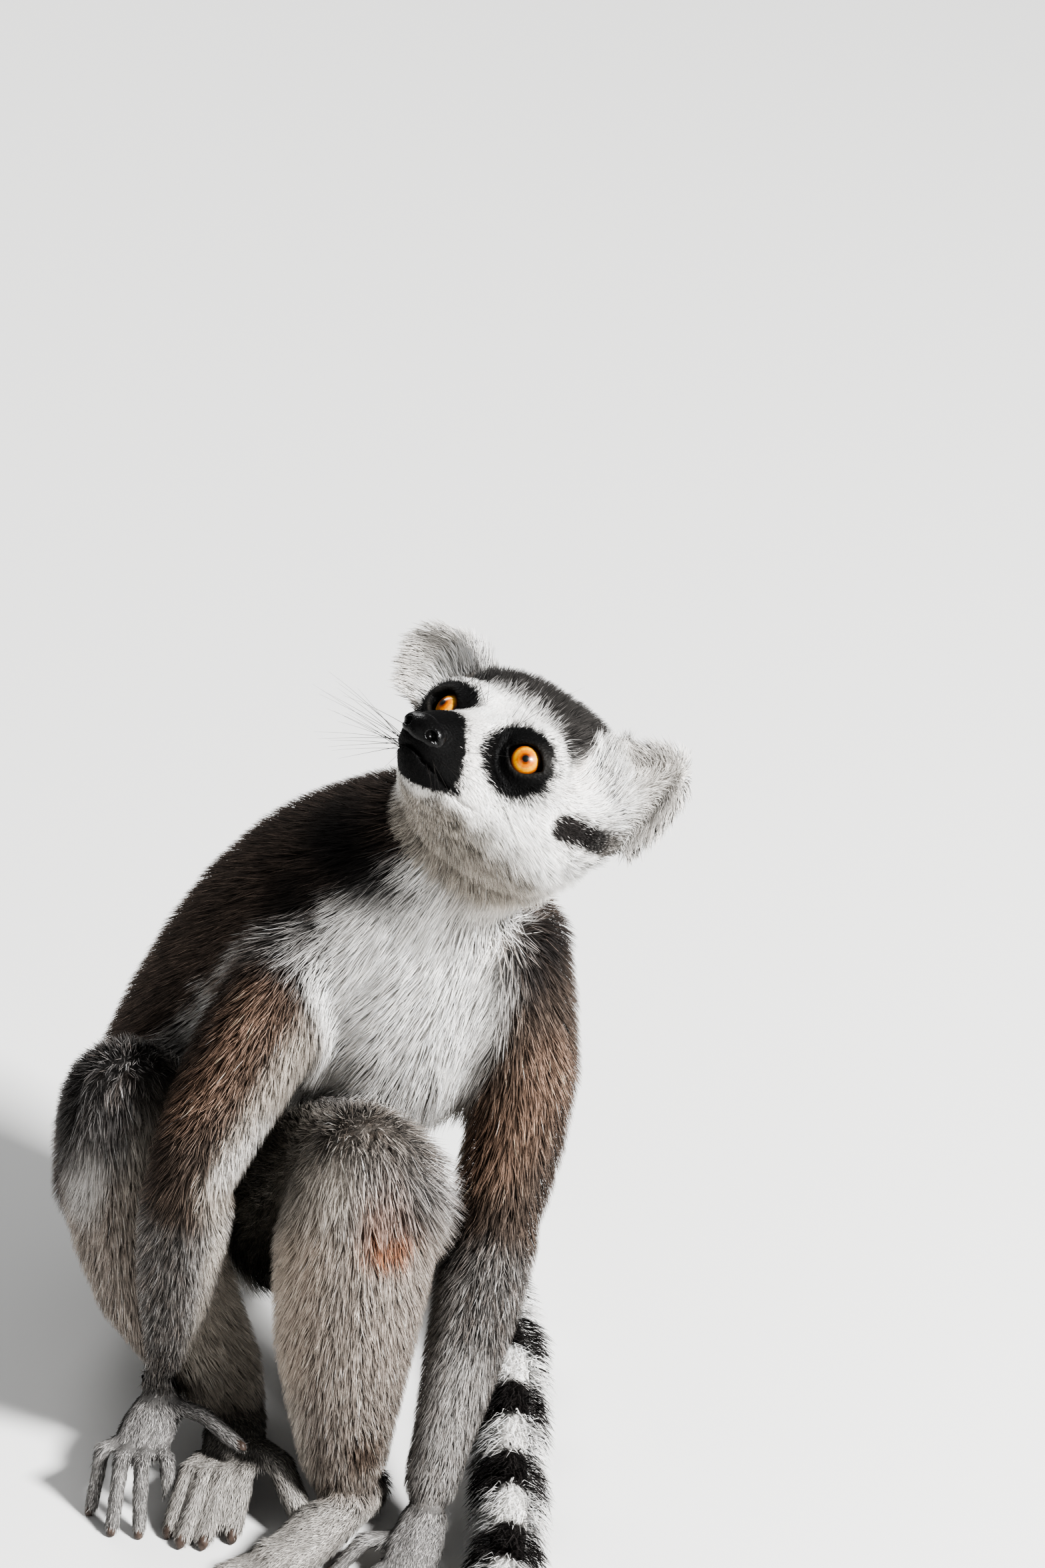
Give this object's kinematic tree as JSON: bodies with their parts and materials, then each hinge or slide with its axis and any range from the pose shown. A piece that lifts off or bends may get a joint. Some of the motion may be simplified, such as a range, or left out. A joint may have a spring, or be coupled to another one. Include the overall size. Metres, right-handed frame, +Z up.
{
  "type": "ring-tailed lemur model",
  "caption": "Life-size still model of a seated ring-tailed lemur, hands on the ground, face turned up to one side, tail laid in a curve round the body.",
  "frame": {"origin": "on the ground under the middle of the whole outline, tail included", "axes": "+Z up; the chest faces -Y; the animal's left is +X"},
  "size_m": [0.2176, 0.368, 0.2997],
  "materials": {
    "coat": "dense grey-brown fur",
    "back": "dense dark brown-grey fur",
    "white": "soft white fur",
    "pale": "short pale grey fur over dark leathery skin",
    "dark": "soft black fur",
    "nose": "moist black skin",
    "eye": "wet, clear-coated orange"
  },
  "bodies": {
    "root": {"eye_left": "eye", "eye_right": "eye", "head": "white", "trunk": "back", "neck": "white", "upper_arm_left": "coat", "upper_arm_right": "coat", "thigh_left": "coat", "thigh_right": "coat", "shin_left": "coat", "shin_right": "coat", "forearm_left": "coat", "forearm_right": "coat", "foot_left": "pale", "foot_right": "pale", "hand_left": "pale", "hand_right": "pale", "nose": "nose", "ear_left": "white", "ear_right": "white", "tail_1": "white", "tail_2": "dark", "tail_3": "white", "tail_4": "dark", "tail_5": "white", "tail_6": "dark", "tail_7": "white"}
  },
  "joints": []
}
